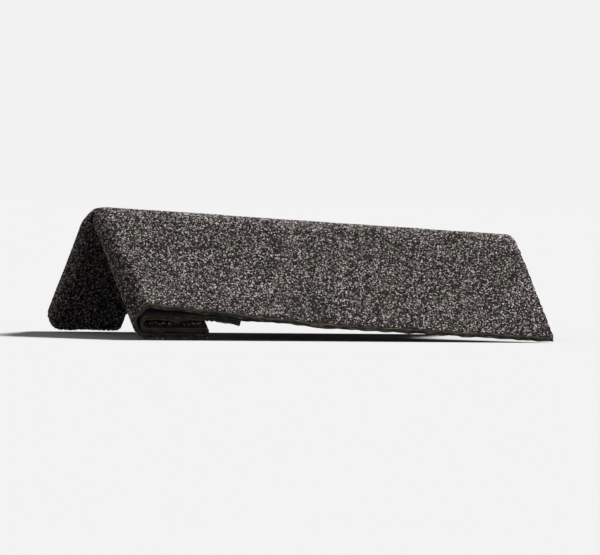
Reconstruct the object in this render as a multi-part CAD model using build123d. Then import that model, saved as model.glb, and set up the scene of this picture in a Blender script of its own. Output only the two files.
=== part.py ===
"""Ridge cap shingle: one piece of granulated asphalt sheet, its front folded back into a thick nose,
bent over a roof ridge and standing on its two side edges.

The section is drawn as the folded sheet runs: tail, top ply, nose roll, bottom ply, hem fold,
middle ply, inner fold, inner ply. X runs along the ridge from nose to tail, Z is up, millimetres.
"""
import os
from math import asin, atan, atan2, cos, degrees, hypot, radians, sin, sqrt, tan

from build123d import *

# Sheet, as it is cut
cap_length = 330.0        # nose to tail along the ridge
cap_girth = 254.0         # from side edge to side edge, over the ridge
sheet_thickness = 3.8

# Bend over the ridge
wing_pitch = 40.0         # each wing below level, degrees
crest_radius = 36.0       # outside of the top ply

# Folded nose, in depth back from the centre of the roll
hem_run = 44.0            # bottom and middle plies, to the hem fold that joins them
knee_run = 48.0           # inner ply, to the knee where it meets the top ply
knee_radius = 30.0
inner_ply_run = 71.0      # inner ply, to its cut end
roll_arcs = 4             # equal arcs that the nose roll is drawn in
nose_sweep = 5.0          # nose corners lie this far behind the nose at the crest

# Gaps between the plies, upwards: tight at the crest, sprung open at the free side edges
ply_gap = 0.3             # where two plies meet
crest_gaps = (ply_gap, ply_gap, 0.8)
edge_gaps = (ply_gap, 2.4, 4.4)

# Rise of the top ply towards the nose, above the plane of its wing
lift_start = 150.0        # behind the nose
lift_radius = 400.0
lift_room = 20.0          # from there to where the whole width of the sheet is straight
crest_lift = 0.3
edge_lift = 6.0

front_length = lift_start + lift_room


def fold_radius(gap):
    """Centre line radius of a fold that leaves this gap between its two plies."""
    return (sheet_thickness + gap) / 2


def roll_radius(gaps):
    """Centre line radius of the nose roll, round four plies and their gaps."""
    return (3 * sheet_thickness + sum(gaps)) / 2


def roll_centre(gaps, lift, front):
    outside = roll_radius(gaps) + sheet_thickness / 2
    return front + outside, lift - outside


def closing_angle(gaps):
    """Between the top ply and the plies under it, the uppermost of which meets it at the knee."""
    return asin((gaps[2] - ply_gap) / knee_run)


def nesting(gaps):
    """How far in front of the roll's centre the inner fold lies, to fit the inside of the roll."""
    return sqrt((gaps[0] - ply_gap) * (gaps[2] - ply_gap))


def lift_angle(gaps, lift, front):
    """Slope of the top ply on its way up to the roll."""
    centre_x, centre_z = roll_centre(gaps, lift, front)
    run = lift_start - centre_x
    rise = -sheet_thickness / 2 - centre_z
    return asin(roll_radius(gaps) / hypot(run, rise)) - atan2(rise, run)


def fold_path(gaps, lift, front):
    """Start point, then straights (length, 0) and bends (radius, turn), from the top ply to the cut end."""
    roll = roll_radius(gaps)
    centre_x, centre_z = roll_centre(gaps, lift, front)
    slope_run = hypot(lift_start - centre_x, sheet_thickness / 2 + centre_z)
    lift_turn = lift_angle(gaps, lift, front)
    lift_tangent = lift_radius * tan(lift_turn / 2)
    closing = closing_angle(gaps)
    knee_tangent = knee_radius * tan(closing / 2)
    steps = [
        (lift_room - lift_tangent, 0),
        (lift_radius, -degrees(lift_turn)),
        (sqrt(slope_run**2 - roll**2) - lift_tangent, 0),
        *[(roll, (180 + degrees(closing)) / roll_arcs)] * roll_arcs,
        (hem_run, 0),
        (fold_radius(gaps[0]), 180),
        (hem_run + nesting(gaps), 0),
        (fold_radius(gaps[1]), -180),
        (knee_run + nesting(gaps) - knee_tangent, 0),
        (knee_radius, -degrees(closing)),
        (inner_ply_run - knee_run - knee_tangent, 0),
    ]
    return Vector(front_length, -sheet_thickness / 2), steps


def sheet_side(start, steps, side):
    """One face of the sheet, half a thickness to the left (1) or right (-1) of its centre line."""
    heading = Vector(-1, 0)
    place = start + heading.rotate(Axis.Z, 90 * side) * (sheet_thickness / 2)
    edges = []
    for size, turn in steps:
        if turn:
            outwards = -side if turn > 0 else side
            edge = JernArc(place, heading, size + outwards * sheet_thickness / 2, turn)
        else:
            edge = Line(place, place + heading * size)
        edges.append(edge)
        place = edge @ 1
        heading = edge % 1
    return edges


def folded_section(gaps, lift, front):
    """Face of the folded sheet, upright in XZ, with the crest bend's axis at Z = 0."""
    start, steps = fold_path(gaps, lift, front)
    left = sheet_side(start, steps, 1)
    right = sheet_side(start, steps, -1)
    rear_end = Line(left[0] @ 0, right[0] @ 0)
    inner_cut = Line(left[-1] @ 1, right[-1] @ 1)
    face = make_face([*left, *right, rear_end, inner_cut])
    return Pos(0, 0, crest_radius) * (Plane.XZ * face)


def front_crest():
    """The round bend of the folded front over the ridge."""
    section = folded_section(crest_gaps, crest_lift, 0)
    bend = revolve(section, axis=Axis.X, revolution_arc=2 * wing_pitch)
    return Rot(X=-wing_pitch) * bend


def wing_width(radius):
    """From the bend to the side edge, for a layer bent at this radius.

    All layers are equally wide, so each ends where its own bend and wing add up to half the girth.
    """
    return cap_girth / 2 - radians(wing_pitch) * radius


def side_cut(section):
    """Moves an upright section out to the side edge, each point by the wing width at its height."""
    narrowing = wing_width(1) - wing_width(0)
    slant = Matrix([[1, 0, 0, 0], [0, 1, narrowing, wing_width(0)], [0, 0, 1, 0]])
    return section.transform_geometry(slant)


def front_wing():
    """The folded front's +Y wing, from the end of the bend to its side edge."""
    tight_end = folded_section(crest_gaps, crest_lift, 0)
    open_end = side_cut(folded_section(edge_gaps, edge_lift, nose_sweep))
    return Rot(X=-wing_pitch) * loft([tight_end, open_end], ruled=True)


def bent_face(radius):
    """One face of the bent sheet, seen along the ridge: wing, bend, wing."""
    bend = CenterArc((0, 0), radius, 90 - wing_pitch, 2 * wing_pitch)
    right = Line(bend @ 0, bend @ 0 - (bend % 0) * wing_width(radius))
    left = Line(bend @ 1, bend @ 1 + (bend % 1) * wing_width(radius))
    return right, bend, left


def tail():
    """The single ply behind the folded front, of one section all along."""
    outside = bent_face(crest_radius)
    inside = bent_face(crest_radius - sheet_thickness)
    right_cut = Line(outside[0] @ 1, inside[0] @ 1)
    left_cut = Line(outside[-1] @ 1, inside[-1] @ 1)
    profile = make_face([*outside, left_cut, *inside, right_cut])
    return extrude(Pos(X=front_length) * (Plane.YZ * profile), cap_length - front_length)


def standing_tilt():
    """Nose-up tilt at which the folded front and the tail touch one level floor at the side edges.

    The line under both is a tangent to the roll or to the hem fold, whichever hangs lower. It is drawn
    square to the wing, then slanted upright.
    """
    bend = radians(wing_pitch)
    roll = roll_radius(edge_gaps)
    hem = fold_radius(edge_gaps[0])
    slope = closing_angle(edge_gaps) - lift_angle(edge_gaps, edge_lift, nose_sweep)
    roll_x, roll_z = roll_centre(edge_gaps, edge_lift, nose_sweep)
    hem_x = roll_x + hem_run * cos(slope) + (roll - hem) * sin(slope)
    hem_z = roll_z + hem_run * sin(slope) - (roll - hem) * cos(slope)
    tangents = []
    for centre_x, centre_z, radius in ((roll_x, roll_z, roll), (hem_x, hem_z, hem)):
        run = cap_length - centre_x
        rise = -sheet_thickness - centre_z
        outside = radius + sheet_thickness / 2
        tangents.append(atan2(rise, run) + asin(outside / hypot(run, rise)))
    return degrees(atan(tan(max(tangents)) * (cos(bend) + bend * sin(bend))))


def ridge_cap():
    side = front_wing()
    cap = tail() + front_crest() + side + mirror(side, about=Plane.XZ)
    cap = Rot(Y=standing_tilt()) * cap
    box = cap.bounding_box()
    return Pos(-box.center().X, 0, -box.min.Z) * cap


os.makedirs("parts", exist_ok=True)
export_step(ridge_cap(), "parts/ridge_cap.step")
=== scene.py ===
"""Looks of the ridge cap shingle: an asphalt sheet, folded into a thick nose and bent over a ridge.

The sheet is meshed finely along its own fold, and separate mineral granules coat its outer face.
Sizes of the sheet are in millimetres, as it is cut and folded, and places in the scene are in metres.
"""
from math import asin, atan, atan2, cos, hypot, pi, radians, sin, sqrt, tan
from typing import NamedTuple

import bpy
import numpy as np
from mathutils import Matrix, Vector


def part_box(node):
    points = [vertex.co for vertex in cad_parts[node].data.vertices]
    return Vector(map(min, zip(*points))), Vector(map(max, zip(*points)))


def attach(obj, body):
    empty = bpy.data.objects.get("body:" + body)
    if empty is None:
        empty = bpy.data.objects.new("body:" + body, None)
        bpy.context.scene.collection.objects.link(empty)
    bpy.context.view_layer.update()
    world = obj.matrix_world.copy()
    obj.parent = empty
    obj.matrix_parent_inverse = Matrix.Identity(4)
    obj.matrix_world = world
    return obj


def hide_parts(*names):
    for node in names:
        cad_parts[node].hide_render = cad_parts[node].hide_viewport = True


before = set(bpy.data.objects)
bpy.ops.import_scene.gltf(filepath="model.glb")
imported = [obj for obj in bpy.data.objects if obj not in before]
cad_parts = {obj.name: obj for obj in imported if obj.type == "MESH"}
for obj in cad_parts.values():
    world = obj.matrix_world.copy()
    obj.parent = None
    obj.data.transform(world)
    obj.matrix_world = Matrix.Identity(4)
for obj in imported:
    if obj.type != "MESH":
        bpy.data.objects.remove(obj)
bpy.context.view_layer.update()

NODE = "ridge_cap"
MM = 0.001
rng = np.random.default_rng(7)


class Unevenness(NamedTuple):
    """Smooth random wear over the sheet laid flat, from nothing to twice its mean."""

    mean: float
    length: float             # of its features, roughly
    waves: int
    seed: int

    def at(self, along, across):
        draw = np.random.default_rng(self.seed)
        total = np.zeros(np.broadcast(along, across).shape)
        for _ in range(self.waves):
            direction = draw.uniform(0, pi)
            length = self.length * draw.uniform(0.6, 1.6)
            phase = draw.uniform(0, 2 * pi)
            total += np.sin(2 * pi * (along * cos(direction) + across * sin(direction)) / length + phase)
        return self.mean * (1 + np.clip(total / sqrt(self.waves), -1, 1))


# Sheet, as it is cut
cap_length = 330.0        # nose to tail along the ridge
cap_girth = 254.0         # from side edge to side edge, over the ridge
sheet_thickness = 3.8

# Bend over the ridge
wing_pitch = radians(40)
crest_radius = 36.0       # outside of the top ply

# Folded nose, in depth back from the centre of the roll
hem_run = 44.0
knee_run = 48.0
knee_radius = 30.0
inner_ply_run = 71.0
nose_sweep = 5.0

# Gaps between the plies, upwards, at the crest and at the side edges
ply_gap = 0.3
crest_gaps = (ply_gap, ply_gap, 0.8)
edge_gaps = (ply_gap, 2.4, 4.4)

# Rise of the top ply towards the nose
lift_start = 150.0
lift_radius = 400.0
crest_lift = 0.3
edge_lift = 6.0

# Upper front of the nose, pressed towards one flat face that leans back
face_lean = radians(50)   # its normal, from the top ply's towards the front
face_reach = 1.2          # radians to each side of that normal, well past where the face meets the roll
crest_press = 1.0
edge_press = 1.6
shoulder_softness = 1.2   # rounds the change from the top ply to that face
press_end = radians(100)  # of the roll's turn, below which it keeps its own round
press_fade = radians(35)

# Dent where the folded front is crushed over the crest
dent_depth = 6.0
dent_width = 6.0          # to each side, where it has faded by about two thirds
dent_reach = 36.0         # back from the nose

# Pucker of the nose roll at the same place
pucker_depth = 1.4
pucker_width = 2.6
pucker_middle = 0.52      # share of the roll's length
pucker_spread = 0.32

# Rise and fall of the inner ply at the side edges
drape_height = 0.45
drape_waves = 1.4
drape_phase = 0.5

# Slump, which stands out along the inner ply's cut end
slump_least = 0.1
slump_ripple = Unevenness(mean=0.45, length=16.0, waves=7, seed=23)
slump_middle = 2.0        # from the cut
slump_spread = 3.5

# Wear of the sheet's faces and cuts, and how far in from an edge it reaches
hollows = Unevenness(mean=0.12, length=55.0, waves=9, seed=11)
side_wear = Unevenness(mean=0.22, length=12.0, waves=9, seed=31)
side_wear_reach = 2.5
side_squeeze = Unevenness(mean=0.3, length=14.0, waves=9, seed=29)
side_squeeze_reach = 3.0
ragged_side = Unevenness(mean=0.22, length=7.0, waves=9, seed=5)
wandering_side = Unevenness(mean=0.25, length=45.0, waves=7, seed=13)
side_cut_reach = 0.5
side_cut_span = 14.0      # length that the thickness counts as in that cut's unevenness
ragged_end = Unevenness(mean=0.5, length=9.0, waves=9, seed=17)
end_cut_reach = 1.5
end_cut_span = 9.0        # the same for the cuts of the tail and the inner ply

# Mesh of the sheet
cell_along = 1.7
cell_turn = radians(14)
cell_across = 2.1
lines_near_side = (0.4, 1.0, 1.6)
levels = 6                # of points through the thickness
box_points = (1500, 255)  # along and across, to find the box that the ideal sheet fills

# Granule coat, its depths measured down from the sheet's outer face
bed_depth = 0.55          # asphalt between the granules
granule_root = 1.0        # lowest corners, pressed into the asphalt
coated_fold = 0.55        # share of the hem fold that is open to view
mouth_depth = 7.0         # coat seen at the side edges, in the gap between middle and inner ply
mouth_worn = 3.2          # bare edge of that gap
coat_strips = ("left_edge", "left_crest", "right_crest", "right_edge")

# One granule
granule_pitch = 1.16      # between neighbours in a row
granule_jitter = 0.3      # share of the pitch
granule_sizes = (0.48, 0.80)  # shares of the pitch
root_reaches = (0.85, 1.2)    # shares of its size, from its middle to a root corner
top_reaches = (0.5, 1.0)      # the same for a top corner
corner_jitter = 0.35      # radians
top_depths = (0.02, 0.2)  # of its highest corner
top_slants = (0, 0.32)    # added at each corner
edge_margin = 0.8         # share of its size that it keeps from the side edge
probe = 0.4               # distance over which the face's direction is taken
chip_corners = 6          # three of the root, then three of the top
chip_faces = np.array([
    [3, 4, 5], [2, 1, 0],
    [0, 1, 3], [1, 4, 3], [1, 2, 4], [2, 5, 4], [2, 0, 5], [0, 3, 5],
])

# Cut edge
streaks_along = 0.12      # texture cells a millimetre
streaks_down = 9.0        # texture cells through the thickness
mat_level = 0.52          # share of the thickness
mat_strength = 0.7
folded_cut_painted_shade = 0.32       # painted shade: brightness of the folded plies' cut, as a share of the top ply's

# Camera, at the photograph's viewing angle
view_azimuth = radians(-20.4)
view_elevation = radians(0.9)
view_roll = radians(1.0)
view_lens = 300.0
sensor_width = 36.0
nearest, farthest = 0.05, 300.0
cap_share = 0.86          # of the image's width, taken by the cap
aim = Vector((0.0, 0.0, 0.044))

# Light
sun_direction = Vector((0.66, 0.10, 0.75)).normalized()
sun_strength = 5.0
sun_width = radians(14)
fill_direction = Vector((-0.75, -0.65, 0.1)).normalized()
fill_strength = 0.35
fill_width = radians(60)
sky_strength = 0.17

# Floor
floor_shade = 0.65        # as the camera sees it
floor_bounce = 0.08       # as the object sees it
floor_radii = (0.5, 2.0, 10.0, 80.0)
floor_corners = 96


def fold_radius(gap):
    """Centre line radius of a fold that leaves this gap between its two plies."""
    return (sheet_thickness + gap) / 2


def roll_radius(gaps):
    """Centre line radius of the nose roll, round four plies and their gaps."""
    return (3 * sheet_thickness + sum(gaps)) / 2


def roll_centre(gaps, lift, front):
    outside = roll_radius(gaps) + sheet_thickness / 2
    return front + outside, lift - outside


def closing_angle(gaps):
    """Between the top ply and the plies under it."""
    return asin((gaps[2] - ply_gap) / knee_run)


def nesting(gaps):
    """How far in front of the roll's centre the inner fold lies."""
    return sqrt((gaps[0] - ply_gap) * (gaps[2] - ply_gap))


def lift_angle(gaps, lift, front):
    """Slope of the top ply on its way up to the roll."""
    centre_x, centre_z = roll_centre(gaps, lift, front)
    run = lift_start - centre_x
    rise = -sheet_thickness / 2 - centre_z
    return asin(roll_radius(gaps) / hypot(run, rise)) - atan2(rise, run)


def fold_steps(gaps, lift, front):
    """Straights (length, 0) and bends (radius, turn) of the sheet's centre line, from tail to inner end."""
    roll = roll_radius(gaps)
    centre_x, centre_z = roll_centre(gaps, lift, front)
    slope_run = hypot(lift_start - centre_x, sheet_thickness / 2 + centre_z)
    lift_turn = lift_angle(gaps, lift, front)
    lift_tangent = lift_radius * tan(lift_turn / 2)
    closing = closing_angle(gaps)
    knee_tangent = knee_radius * tan(closing / 2)
    return [
        (cap_length - lift_start - lift_tangent, 0),
        (lift_radius, -lift_turn),
        (sqrt(slope_run**2 - roll**2) - lift_tangent, 0),
        (roll, pi + closing),
        (hem_run, 0),
        (fold_radius(gaps[0]), pi),
        (hem_run + nesting(gaps), 0),
        (fold_radius(gaps[1]), -pi),
        (knee_run + nesting(gaps) - knee_tangent, 0),
        (knee_radius, -closing),
        (inner_ply_run - knee_run - knee_tangent, 0),
    ]


# Places of some steps in that list
roll_step, hem_fold_step, middle_ply_step, inner_ply_step = 3, 5, 6, 8


class Section:
    """The folded sheet's centre line in one upright plane, as complex numbers: along the ridge, and up."""

    def __init__(self, gaps, lift, front, press):
        self.steps = fold_steps(gaps, lift, front)
        self.press = press
        self.places = [complex(cap_length, -sheet_thickness / 2)]
        self.headings = [-1 + 0j]
        for size, turn in self.steps:
            place, heading = self.follow(self.places[-1], self.headings[-1], size, turn, 1.0)
            self.places.append(place)
            self.headings.append(heading)

    @staticmethod
    def follow(place, heading, size, turn, share):
        """Place and heading after a share of one step."""
        side = 1j * heading * size * np.sign(turn)
        swing = np.exp(1j * turn * share)
        along = heading * size * share
        moved = np.where(turn == 0, along, side * (1 - swing))
        return place + moved, heading * swing

    def flattening(self, station):
        """How far the whole sheet is pressed in at the nose's upper front, behind a soft shoulder."""
        outside = self.steps[roll_step][0] + sheet_thickness / 2
        behind = np.clip(roll_step - station, 0, 1) * self.steps[roll_step - 1][0]
        swing = np.clip(station - roll_step, 0, 1) * self.steps[roll_step][1]
        off_face = np.clip(swing - face_lean, -face_reach, face_reach)
        excess = outside - (outside - self.press) / np.cos(off_face) - behind * tan(face_lean)
        pressed = (excess + np.sqrt(excess**2 + 4 * shoulder_softness**2)) / 2
        kept = np.clip((press_end - swing) / press_fade, 0, 1)
        return pressed * kept**2 * (3 - 2 * kept)

    def layer(self, station, depth):
        """Points this deep under the granulated face. A station is a step's number and the share of it."""
        depth = depth + self.flattening(station)
        step = np.clip(np.floor(station).astype(int), 0, len(self.steps) - 1)
        sizes, turns = np.array(self.steps).T
        start, heading = np.array(self.places)[step], np.array(self.headings)[step]
        place, heading = self.follow(start, heading, sizes[step], turns[step], station - step)
        return place - 1j * heading * (sheet_thickness / 2 - depth)

    def face_lengths(self):
        """Length of each step along the granulated face, which is the outer one in left turns."""
        return [abs(turn) * (size + np.sign(turn) * sheet_thickness / 2) if turn else size
                for size, turn in self.steps]


crest_section = Section(crest_gaps, crest_lift, 0.0, crest_press)
edge_section = Section(edge_gaps, edge_lift, nose_sweep, edge_press)
step_lengths = (np.array(crest_section.face_lengths()) + edge_section.face_lengths()) / 2
step_ends = np.concatenate([[0], np.cumsum(step_lengths)])
face_end = step_ends[-1]


def station_at(along):
    """The station this far from the tail along the granulated face."""
    return np.interp(along, step_ends, np.arange(len(step_ends)))


def standing_tilt():
    """Nose-up tilt at which the tail and the lower of roll and hem fold touch the floor."""
    roll = roll_radius(edge_gaps)
    hem = fold_radius(edge_gaps[0])
    slope = closing_angle(edge_gaps) - lift_angle(edge_gaps, edge_lift, nose_sweep)
    roll_x, roll_z = roll_centre(edge_gaps, edge_lift, nose_sweep)
    hem_x = roll_x + hem_run * cos(slope) + (roll - hem) * sin(slope)
    hem_z = roll_z + hem_run * sin(slope) - (roll - hem) * cos(slope)
    tangents = []
    for centre_x, centre_z, radius in ((roll_x, roll_z, roll), (hem_x, hem_z, hem)):
        run = cap_length - centre_x
        rise = -sheet_thickness - centre_z
        tangents.append(atan2(rise, run) + asin((radius + sheet_thickness / 2) / hypot(run, rise)))
    return atan(tan(max(tangents)) * (cos(wing_pitch) + wing_pitch * sin(wing_pitch)))


tilt = standing_tilt()


def drape(station):
    """Rise and fall of the inner ply's free stretch at the side edges, where nothing holds it."""
    share = np.clip(station - inner_ply_step, 0, 1)
    return drape_height * np.sin(pi * share) * np.sin(2 * pi * drape_waves * share + drape_phase)


def crest_dent(x, across):
    """How far back a point this far behind the nose is crushed."""
    return dent_depth * np.clip(1 - x / dent_reach, 0, 1) ** 2 * np.exp(-(across / dent_width) ** 2)


def bent(station, across, depth):
    """Points of the sheet in millimetres, tilted as it stands, before they are moved onto the frame.

    Over the crest they keep the crest's section. On each wing they run straight from there to the side
    edge's section, and every layer is equally wide.
    """
    tight = crest_section.layer(station, depth)
    loose = edge_section.layer(station, depth) + 1j * drape(station)
    tight_radius = crest_radius + tight.imag
    loose_radius = crest_radius + loose.imag
    reach = np.abs(across)
    bend_arc = wing_pitch * tight_radius
    angle = np.minimum(reach / tight_radius, wing_pitch)
    share = np.maximum(reach - bend_arc, 0) / (cap_girth / 2 - bend_arc)
    x = tight.real + share * (loose.real - tight.real)
    x = x + crest_dent(x, across)
    radius = tight_radius + share * (loose_radius - tight_radius)
    out = share * (cap_girth / 2 - wing_pitch * loose_radius)
    y = np.sign(across) * (radius * np.sin(angle) + out * cos(wing_pitch))
    z = radius * np.cos(angle) - out * sin(wing_pitch)
    return np.stack([x * cos(tilt) + z * sin(tilt), y, z * cos(tilt) - x * sin(tilt)], axis=-1)


def frame_offset():
    """From the bent sheet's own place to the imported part's, in metres. Tail, sides and foot are matched."""
    count_along, count_across = box_points
    along = np.linspace(0, face_end, count_along)
    across = np.linspace(-cap_girth / 2, cap_girth / 2, count_across)
    station, across = np.meshgrid(station_at(along), across)
    faces = [bent(station, across, depth) for depth in (0.0, sheet_thickness)]
    points = np.concatenate(faces).reshape(-1, 3) * MM
    low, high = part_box(NODE)
    shift = np.array(low) - points.min(axis=0)
    shift[0] = high.x - points[:, 0].max()
    return shift


offset = frame_offset()


def placed(station, across, depth):
    return bent(station, across, depth) * MM + offset


def mesh_object(name, points, faces, materials):
    mesh = bpy.data.meshes.new(name)
    mesh.vertices.add(len(points))
    mesh.vertices.foreach_set("co", points.astype(np.float32).ravel())
    mesh.loops.add(faces.size)
    mesh.loops.foreach_set("vertex_index", faces.astype(np.int32).ravel())
    mesh.polygons.add(len(faces))
    mesh.polygons.foreach_set("loop_start", np.arange(0, faces.size, faces.shape[1], dtype=np.int32))
    mesh.update(calc_edges=True)
    mesh.validate()
    for material in materials:
        mesh.materials.append(material)
    piece = bpy.data.objects.new(name, mesh)
    bpy.context.scene.collection.objects.link(piece)
    return piece


def add_values(piece, name, values):
    """Stores one vector for each vertex, which materials read by name."""
    layer = piece.data.attributes.new(name, "FLOAT_VECTOR", "POINT")
    layer.data.foreach_set("vector", values.astype(np.float32).ravel())


def along_lines():
    """Distances from the tail at which the sheet is divided: a cell length apart, or a small turn apart."""
    lines = []
    for start, length, (_, turn) in zip(step_ends, step_lengths, edge_section.steps):
        count = int(np.ceil(max(length / cell_along, abs(turn) / cell_turn)))
        lines.append(start + np.linspace(0, length, count, endpoint=False))
    return np.append(np.concatenate(lines), face_end)


def across_lines():
    """Distances from the crest at which the sheet is divided, with a few more near the side edges."""
    even = np.linspace(0, cap_girth, int(np.ceil(cap_girth / cell_across)) + 1)
    extra = [line for near in lines_near_side for line in (near, cap_girth - near)]
    return np.unique(np.round(np.concatenate([even, extra]), 4)) - cap_girth / 2


def sink(along, across):
    """How far the granulated face lies below its ideal place, with its hollows, pucker, wear and slump."""
    roll_share = (along - step_ends[roll_step]) / step_lengths[roll_step]
    over_roll = np.exp(-((roll_share - pucker_middle) / pucker_spread) ** 2)
    pucker = pucker_depth * over_roll * np.exp(-(across / pucker_width) ** 2)
    near_cut = np.exp(-((face_end - along - slump_middle) / slump_spread) ** 2)
    slump = near_cut * (slump_least + slump_ripple.at(along, across))
    near_side = np.exp(-(cap_girth / 2 - np.abs(across)) / side_wear_reach)
    return hollows.at(along, across) + pucker + near_side * side_wear.at(along, across) - slump


def sheet_points(along, across, down):
    """The sheet with its uneven cuts. Down runs from 0 at the bed to 1 at the back."""
    from_side = cap_girth / 2 - np.abs(across)
    top = bed_depth + sink(along, across)
    squeezed = np.exp(-from_side / side_squeeze_reach) * side_squeeze.at(along, across)
    depth = top + (sheet_thickness - squeezed - top) * down
    side_cut = ragged_side.at(along, side_cut_span * down) + wandering_side.at(along, across)
    inward = np.sign(across) * np.exp(-from_side / side_cut_reach) * side_cut
    end_cut = ragged_end.at(across, end_cut_span * down)
    from_tail = np.exp(-along / end_cut_reach) * end_cut
    from_inner_end = np.exp(-(face_end - along) / end_cut_reach) * end_cut
    return placed(station_at(along + from_tail - from_inner_end), across - inward, depth)


def quads(index):
    """Faces between the neighbours of a rectangular grid of points."""
    corners = [index[:-1, :-1], index[1:, :-1], index[1:, 1:], index[:-1, 1:]]
    return np.stack(corners, axis=-1).reshape(-1, 4)


def sheet_piece(materials):
    """The asphalt sheet itself: bed under the granules, back, and four cut edges, as one closed mesh."""
    lines = along_lines(), across_lines(), np.linspace(0, 1, levels)
    along, across, down = np.meshgrid(*lines, indexing="ij")
    points = sheet_points(along, across, down).reshape(-1, 3)
    index = np.arange(along.size).reshape(along.shape)
    bed, back, cut = range(3)
    sides = [
        (quads(index[:, :, 0])[:, ::-1], bed),
        (quads(index[:, :, -1]), back),
        (quads(index[:, 0, :]), cut),
        (quads(index[:, -1, :])[:, ::-1], cut),
        (quads(index[0, :, :])[:, ::-1], cut),
        (quads(index[-1, :, :]), cut),
    ]
    faces = np.concatenate([side for side, _ in sides])
    kinds = np.concatenate([np.full(len(side), kind) for side, kind in sides])
    used, faces = np.unique(faces, return_inverse=True)
    piece = mesh_object("sheet", points[used], faces.reshape(-1, 4), materials)
    piece.data.polygons.foreach_set("material_index", kinds.astype(np.int32))
    laid_flat = np.stack([along, across, down], axis=-1).reshape(-1, 3)
    add_values(piece, "laid_flat", laid_flat[used])
    return piece


def granule_spots(start, end, lowest, highest):
    """Jittered rows of granules over one rectangle of the sheet, laid flat."""
    row_pitch = granule_pitch * sqrt(3) / 2
    rows = np.arange(start + row_pitch / 2, end, row_pitch)
    places = np.arange(lowest + granule_pitch / 4, highest - granule_pitch / 4, granule_pitch)
    along, across = np.meshgrid(rows, places, indexing="ij")
    across = across + granule_pitch / 2 * (np.arange(len(rows)) % 2)[:, None]
    along = along + rng.uniform(-granule_jitter, granule_jitter, along.shape) * granule_pitch
    across = across + rng.uniform(-granule_jitter, granule_jitter, across.shape) * granule_pitch
    return along.ravel(), across.ravel()


def unit(vectors):
    return vectors / np.linalg.norm(vectors, axis=1, keepdims=True)


def face_axes(along, across):
    """Places on the granulated face, with the directions along it, across it and out of it."""
    def spot(ahead, aside):
        return placed(station_at(along + ahead), across + aside, sink(along + ahead, across + aside))

    forward = unit(spot(probe, 0) - spot(-probe, 0))
    sideways = unit(spot(0, probe) - spot(0, -probe))
    outward = unit(np.cross(sideways, forward))
    return spot(0, 0), forward, np.cross(forward, outward), outward


def chip_points(along, across, size):
    """Corners of the granules: three of each one's root, then three of its smaller top."""
    count = len(along)
    turn = rng.uniform(0, 2 * pi, (count, 1))
    third = np.array([0, 1, 2]) * 2 * pi / 3
    root_angle = turn + third + rng.uniform(-corner_jitter, corner_jitter, (count, 3))
    top_angle = turn + pi / 3 + third + rng.uniform(-corner_jitter, corner_jitter, (count, 3))
    root_reach = size[:, None] * rng.uniform(*root_reaches, (count, 3))
    top_reach = size[:, None] * rng.uniform(*top_reaches, (count, 3))
    top_depth = rng.uniform(*top_depths, (count, 1)) + rng.uniform(*top_slants, (count, 3))
    root_depth = np.full((count, 3), granule_root)
    angle = np.concatenate([root_angle, top_angle], axis=1)[..., None]
    reach = np.concatenate([root_reach, top_reach], axis=1)[..., None]
    depth = np.concatenate([root_depth, top_depth], axis=1)[..., None]
    centre, forward, sideways, outward = (axis[:, None, :] for axis in face_axes(along, across))
    return centre + MM * (
        reach * np.cos(angle) * sideways
        + reach * np.sin(angle) * forward
        - depth * outward
    )


def granules(name, patches, material):
    """A part of the coat. Each granule is a chip with a small top face, a wider root and six sides."""
    spots = [granule_spots(*patch) for patch in patches]
    along, across = (np.concatenate(part) for part in zip(*spots))
    size = granule_pitch * rng.uniform(*granule_sizes, len(along))
    from_ends = np.minimum(along, face_end - along)
    keep = (np.abs(across) + edge_margin * size < cap_girth / 2) & (from_ends > size)
    points = chip_points(along[keep], across[keep], size[keep])
    count = len(points)
    faces = chip_faces[None] + chip_corners * np.arange(count)[:, None, None]
    piece = mesh_object(name, points.reshape(-1, 3), faces.reshape(-1, 3), [material])
    mineral = rng.random((count, 3))
    add_values(piece, "mineral", np.repeat(mineral, chip_corners, axis=0))
    add_bake_map(piece, count)
    return piece


def add_bake_map(piece, count):
    """A map in which every granule has a cell of its own, for anyone who bakes its colour."""
    cells = int(np.ceil(sqrt(count)))
    corners = np.array([[0.2, 0.2], [0.8, 0.2], [0.5, 0.8]])
    cell = np.stack([np.arange(count) % cells, np.arange(count) // cells], axis=-1)
    spots = (cell[:, None, None, :] + corners[None, None]) / cells
    spots = np.broadcast_to(spots, (count, len(chip_faces), 3, 2))
    layer = piece.data.uv_layers.new(name="OFBake")
    layer.data.foreach_set("uv", spots.astype(np.float32).ravel())


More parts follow.
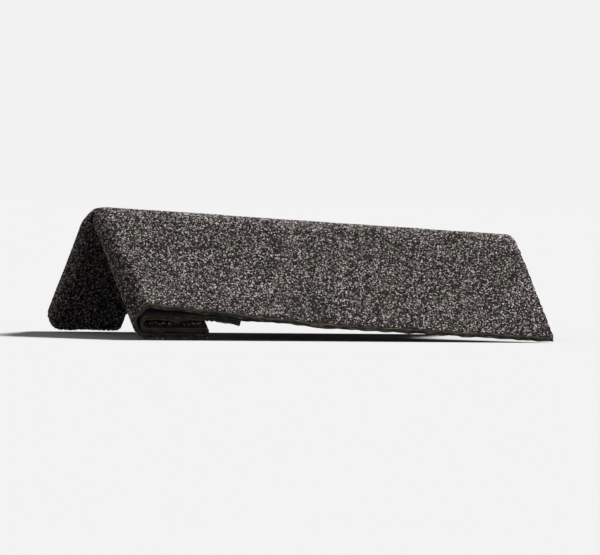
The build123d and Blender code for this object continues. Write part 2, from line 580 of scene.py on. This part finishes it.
class Nodes:
    """A node tree under construction, with short calls for its nodes."""

    def __init__(self, tree):
        self.tree = tree

    def add(self, kind, settings=None, **inputs):
        """A node, its properties, and inputs by their socket's name with _ for a space."""
        node = self.tree.nodes.new(kind)
        for key, value in (settings or {}).items():
            setattr(node, key, value)
        for key, value in inputs.items():
            self.feed(node.inputs[key.replace("_", " ")], value)
        return node

    def feed(self, socket, value):
        """Links an output to a socket, or sets a plain value there."""
        if isinstance(value, bpy.types.NodeSocket):
            self.tree.links.new(value, socket)
        elif isinstance(value, tuple):
            socket.default_value = (*value, 1)
        else:
            socket.default_value = value

    def maths(self, operation, first, second=0.0):
        node = self.add("ShaderNodeMath", {"operation": operation})
        self.feed(node.inputs[0], first)
        self.feed(node.inputs[1], second)
        return node.outputs[0]

    def times(self, product, *factors):
        for factor in factors:
            product = self.maths("MULTIPLY", product, factor)
        return product

    def noise(self, vector, scale, detail):
        return self.add("ShaderNodeTexNoise", Vector=vector, Scale=scale, Detail=detail).outputs["Fac"]

    def span(self, value, low, high, **inputs):
        """A value from 0 to 1, or over the range that is given, brought to another range."""
        return self.add("ShaderNodeMapRange", Value=value, To_Min=low, To_Max=high, **inputs).outputs[0]

    def ramp(self, value, stops, interpolation="LINEAR"):
        """Colours (position, (r, g, b)) along a value."""
        node = self.add("ShaderNodeValToRGB", Fac=value)
        node.color_ramp.interpolation = interpolation
        elements = node.color_ramp.elements
        while len(elements) < len(stops):
            elements.new(0.5)
        for element, (position, colour) in zip(elements, stops):
            element.position = position
            element.color = (*colour, 1)
        return node.outputs["Color"]

    def mix(self, share, first, second, blend="MIX"):
        node = self.add("ShaderNodeMix", {"data_type": "RGBA", "blend_type": blend})
        self.feed(node.inputs[0], share)
        self.feed(node.inputs[6], first)
        self.feed(node.inputs[7], second)
        return node.outputs[2]

    def tint(self, colour, value, low, high, span=(0.3, 0.7)):
        """The colour, multiplied by one tint at the low end of a value and by another at its high end."""
        return self.mix(1.0, colour, self.ramp(value, [(span[0], low), (span[1], high)]), "MULTIPLY")

    def values(self, name):
        """The three parts of a vector stored on the mesh."""
        stored = self.add("ShaderNodeAttribute", {"attribute_name": name})
        return self.add("ShaderNodeSeparateXYZ", Vector=stored.outputs["Vector"]).outputs

    def place(self):
        return self.add("ShaderNodeTexCoord").outputs["Object"]

    def grains(self, vector, scale):
        """Cells like grains: a random number for each one, and the distance from its middle."""
        cells = self.add("ShaderNodeTexVoronoi", Vector=vector, Scale=scale)
        parts = self.add("ShaderNodeSeparateColor", Color=cells.outputs["Color"])
        return parts.outputs[0], cells.outputs["Distance"]


class Material(Nodes):
    """A material under construction."""

    def __init__(self, name, specular):
        self.material = bpy.data.materials.new(name)
        self.material.use_nodes = True
        super().__init__(self.material.node_tree)
        self.shader = self.tree.nodes["Principled BSDF"]
        self.set("Specular IOR Level", specular)

    def set(self, socket, value):
        self.feed(self.shader.inputs[socket], value)

    def bump(self, height, strength, distance):
        node = self.add("ShaderNodeBump", Height=height, Strength=strength, Distance=distance)
        self.set("Normal", node.outputs[0])


def grey(value):
    return (value, value, value)


# Minerals of the granules: share of the mix at which each one begins, and its colour
minerals = [
    (0.00, (0.010, 0.008, 0.008)),
    (0.32, (0.039, 0.032, 0.030)),
    (0.49, (0.105, 0.090, 0.085)),
    (0.62, (0.210, 0.184, 0.176)),
    (0.74, (0.400, 0.357, 0.343)),
    (0.86, (0.735, 0.668, 0.650)),
]

# Lean of single granules to grey green, to violet and to tan, and the share at which each one begins
granule_hues = [
    (0.00, (1.0, 1.0, 1.0)),
    (0.40, (0.965, 1.0, 0.965)),
    (0.60, (1.01, 0.985, 1.035)),
    (0.80, (1.035, 1.0, 0.90)),
]

# Faint tints of whole patches of the coat
patch_green = (0.97, 1.0, 0.95)
patch_violet = (1.035, 0.98, 1.03)

# Asphalt between the granules, from bare to the smallest grains
bed_grains = [
    (0.00, grey(0.004)),
    (0.50, (0.010, 0.009, 0.008)),
    (0.80, (0.030, 0.026, 0.024)),
    (0.95, (0.110, 0.098, 0.088)),
]

# Asphalt back and its sand, and the tint of its palest rub marks
back_grains = [
    (0.00, grey(0.012)),
    (0.55, (0.028, 0.027, 0.026)),
    (0.85, (0.075, 0.070, 0.064)),
]
rubbed = (1.5, 1.47, 1.42)

# Asphalt of the cut, from its darkest to its palest streaks, its fibre mat and its rim under the coat
cut_streaks = [
    (0.38, (0.007, 0.007, 0.005)),
    (0.50, (0.050, 0.048, 0.034)),
    (0.62, (0.260, 0.240, 0.175)),
]
mat_colour = (0.130, 0.122, 0.090)
rim_colour = (0.480, 0.370, 0.285)


def granule_material():
    """Crushed mineral: a mix of dark and pale grains, in faint patches that lean to violet or green."""
    m = Material("granules", specular=0.09)
    kind, shade, hue = m.values("mineral")
    place = m.place()
    colour = m.ramp(kind, minerals, "CONSTANT")
    colour = m.mix(1.0, colour, m.ramp(hue, granule_hues, "CONSTANT"), "MULTIPLY")
    patches = m.noise(place, scale=38.0, detail=2.0)
    colour = m.tint(colour, patches, patch_green, patch_violet, (0.38, 0.62))
    colour = m.tint(colour, m.noise(place, scale=21.0, detail=2.0), grey(0.9), grey(1.1))
    colour = m.tint(colour, shade, grey(0.72), grey(1.28), (0.0, 1.0))
    colour = m.tint(colour, m.noise(place, scale=4200.0, detail=1.0), grey(0.86), grey(1.14))
    m.set("Base Color", colour)
    m.set("Roughness", m.span(shade, 0.55, 0.9))
    return m.material


def bed_material():
    """Asphalt between the granules, full of dust and the smallest grains."""
    m = Material("asphalt_bed", specular=0.1)
    grain, distance = m.grains(m.place(), scale=1500.0)
    m.set("Base Color", m.ramp(grain, bed_grains, "CONSTANT"))
    m.set("Roughness", 0.85)
    m.bump(distance, strength=0.7, distance=0.0004)
    return m.material


def back_material():
    """Asphalt back, dulled by fine sand, with faint rub marks."""
    m = Material("asphalt_back", specular=0.2)
    place = m.place()
    grain, distance = m.grains(place, scale=2300.0)
    sand = m.ramp(grain, back_grains, "CONSTANT")
    rubs = m.noise(place, scale=55.0, detail=5.0)
    m.set("Base Color", m.tint(sand, rubs, grey(0.7), rubbed, (0.4, 0.7)))
    m.set("Roughness", m.span(m.noise(place, scale=90.0, detail=4.0), 0.7, 0.95))
    height = m.maths("ADD", m.times(distance, 0.6), m.noise(place, scale=260.0, detail=4.0))
    m.bump(height, strength=0.6, distance=0.0005)
    return m.material


def cut_material():
    """Cut edge: olive black asphalt with the knife's streaks, a fibre mat inside, brown under the coat."""
    m = Material("cut_edge", specular=0.12)
    along, across, down = m.values("laid_flat")
    drawn_out = m.add("ShaderNodeCombineXYZ", X=m.times(along, streaks_along),
                      Y=m.times(across, streaks_along), Z=m.times(down, streaks_down))
    streaks = m.noise(drawn_out.outputs[0], scale=0.9, detail=5.0)
    asphalt = m.ramp(streaks, cut_streaks)
    off_mat = m.maths("ABSOLUTE", m.maths("SUBTRACT", down, mat_level))
    mat = m.ramp(off_mat, [(0.03, grey(1)), (0.09, grey(0))])
    colour = m.mix(m.times(mat, streaks, mat_strength), asphalt, mat_colour)
    blotches = m.noise(m.place(), scale=170.0, detail=3.0)
    colour = m.tint(colour, blotches, grey(0.45), grey(1.9), (0.36, 0.64))
    rim = m.ramp(down, [(0.10, grey(1)), (0.42, grey(0))])
    specks = m.noise(m.place(), scale=900.0, detail=3.0)
    colour = m.mix(m.times(rim, specks), colour, rim_colour)
    # Painted shade: past the roll, the cut darkens to the folded plies' share, for the shadow under the top
    # ply
    roll_start, roll_end = (float(end) for end in step_ends[roll_step:roll_step + 2])
    shade = m.span(along, 1.0, folded_cut_painted_shade, From_Min=roll_start, From_Max=roll_end)
    painted_shade_grey = m.add("ShaderNodeCombineColor", Red=shade, Green=shade, Blue=shade)
    m.set("Base Color", m.mix(1.0, colour, painted_shade_grey.outputs[0], "MULTIPLY"))
    m.set("Roughness", m.span(streaks, 0.5, 0.85))
    fibres = m.noise(m.place(), scale=1300.0, detail=4.0)
    m.bump(m.maths("ADD", streaks, m.times(fibres, 0.5)), strength=0.8, distance=0.0008)
    return m.material


def dress():
    """Sheet and granule coat, in place of the plain solid."""
    sheet = sheet_piece([bed_material(), back_material(), cut_material()])
    sheet.data.shade_smooth()
    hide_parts(NODE)
    coat = granule_material()
    half = cap_girth / 2
    coat_end = step_ends[hem_fold_step] + coated_fold * step_lengths[hem_fold_step]
    limits = np.linspace(half, -half, len(coat_strips) + 1)
    strips = [
        granules(f"granules_{name}", [(0.0, coat_end, low, high)], coat)
        for name, high, low in zip(coat_strips, limits, limits[1:])
    ]
    mouth_start, shown_start = step_ends[middle_ply_step], step_ends[inner_ply_step] + hem_run
    inner = granules("granules_inner_ply", [
        (shown_start, face_end, -half, half),
        (mouth_start, shown_start, mouth_worn - half, mouth_depth - half),
        (mouth_start, shown_start, half - mouth_depth, half - mouth_worn),
    ], coat)
    for piece in (sheet, *strips, inner):
        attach(piece, "root")


def seen_directly(n):
    """1 where the camera sees a surface, directly, in gloss or through glass, and 0 in bounced light."""
    path = n.add("ShaderNodeLightPath").outputs
    share = n.maths("MAXIMUM", path["Is Camera Ray"], path["Is Glossy Ray"])
    return n.maths("MAXIMUM", share, path["Is Transmission Ray"])


def studio_floor():
    """A wide floor, pale to the eye and dimmer as a source of light from below.

    It is a set of rings, with strips from side to side in the innermost one.
    """
    m = Material("pale_floor", specular=0.0)
    m.set("Base Color", m.mix(seen_directly(m), grey(floor_bounce), grey(floor_shade)))
    m.set("Roughness", 0.9)
    turns = np.linspace(0, 2 * pi, floor_corners, endpoint=False)
    ring = np.stack([np.cos(turns), np.sin(turns), 0 * turns], axis=-1)
    points = np.concatenate([radius * ring for radius in floor_radii])
    index = np.arange(len(points)).reshape(len(floor_radii), floor_corners)
    after = np.roll(index, -1, axis=1)
    rings = np.stack([index[:-1], index[1:], after[1:], after[:-1]], axis=-1).reshape(-1, 4)
    one_side = np.arange(floor_corners // 2 - 1)
    other_side = floor_corners - 1 - one_side
    strips = np.stack([one_side, one_side + 1, other_side - 1, other_side], axis=-1)
    floor = mesh_object("studio_floor", points, np.concatenate([rings, strips]), [m.material])


def distant_light(name, direction, strength, width):
    data = bpy.data.lights.new(name, "SUN")
    data.energy = strength
    data.angle = width
    light = bpy.data.objects.new(name, data)
    light.rotation_euler = (-direction).to_track_quat("-Z", "Y").to_euler()
    bpy.context.scene.collection.objects.link(light)


def lighting():
    """A soft sun from the right and above, a weak fill on the nose, and a weak white sky.

    To the camera, the sky is as bright as the lit floor, so no horizon shows.
    """
    distant_light("sun", sun_direction, sun_strength, sun_width)
    distant_light("fill", fill_direction, fill_strength, fill_width)
    lamps = (sun_strength * sun_direction.z + fill_strength * fill_direction.z) / pi
    lit_floor = floor_shade * (lamps + sky_strength)
    world = bpy.data.worlds.new("studio")
    world.use_nodes = True
    n = Nodes(world.node_tree)
    background = n.tree.nodes["Background"]
    n.feed(background.inputs["Color"], grey(1))
    n.feed(background.inputs["Strength"], n.span(seen_directly(n), sky_strength, lit_floor))
    bpy.context.scene.world = world


def camera():
    """A long lens, set back until the cap takes its share of the image."""
    data = bpy.data.cameras.new("camera")
    data.lens = view_lens
    data.sensor_width = sensor_width
    data.clip_start = nearest
    data.clip_end = farthest
    view = bpy.data.objects.new("camera", data)
    right = Vector((cos(view_azimuth), sin(view_azimuth), 0))
    level = cos(view_elevation)
    back = Vector((sin(view_azimuth) * level, -cos(view_azimuth) * level, sin(view_elevation)))
    low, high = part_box(NODE)
    corners = [Vector((x, y, 0)).dot(right) for x in (low.x, high.x) for y in (low.y, high.y)]
    distance = (max(corners) - min(corners)) / cap_share * view_lens / sensor_width
    turned = (-back).to_track_quat("-Z", "Y").to_matrix().to_4x4() @ Matrix.Rotation(view_roll, 4, "Z")
    view.matrix_world = Matrix.Translation(aim + back * distance) @ turned
    bpy.context.scene.collection.objects.link(view)
    bpy.context.scene.camera = view


dress()
studio_floor()
lighting()
camera()

scene = bpy.context.scene
scene.view_settings.view_transform = "Standard"
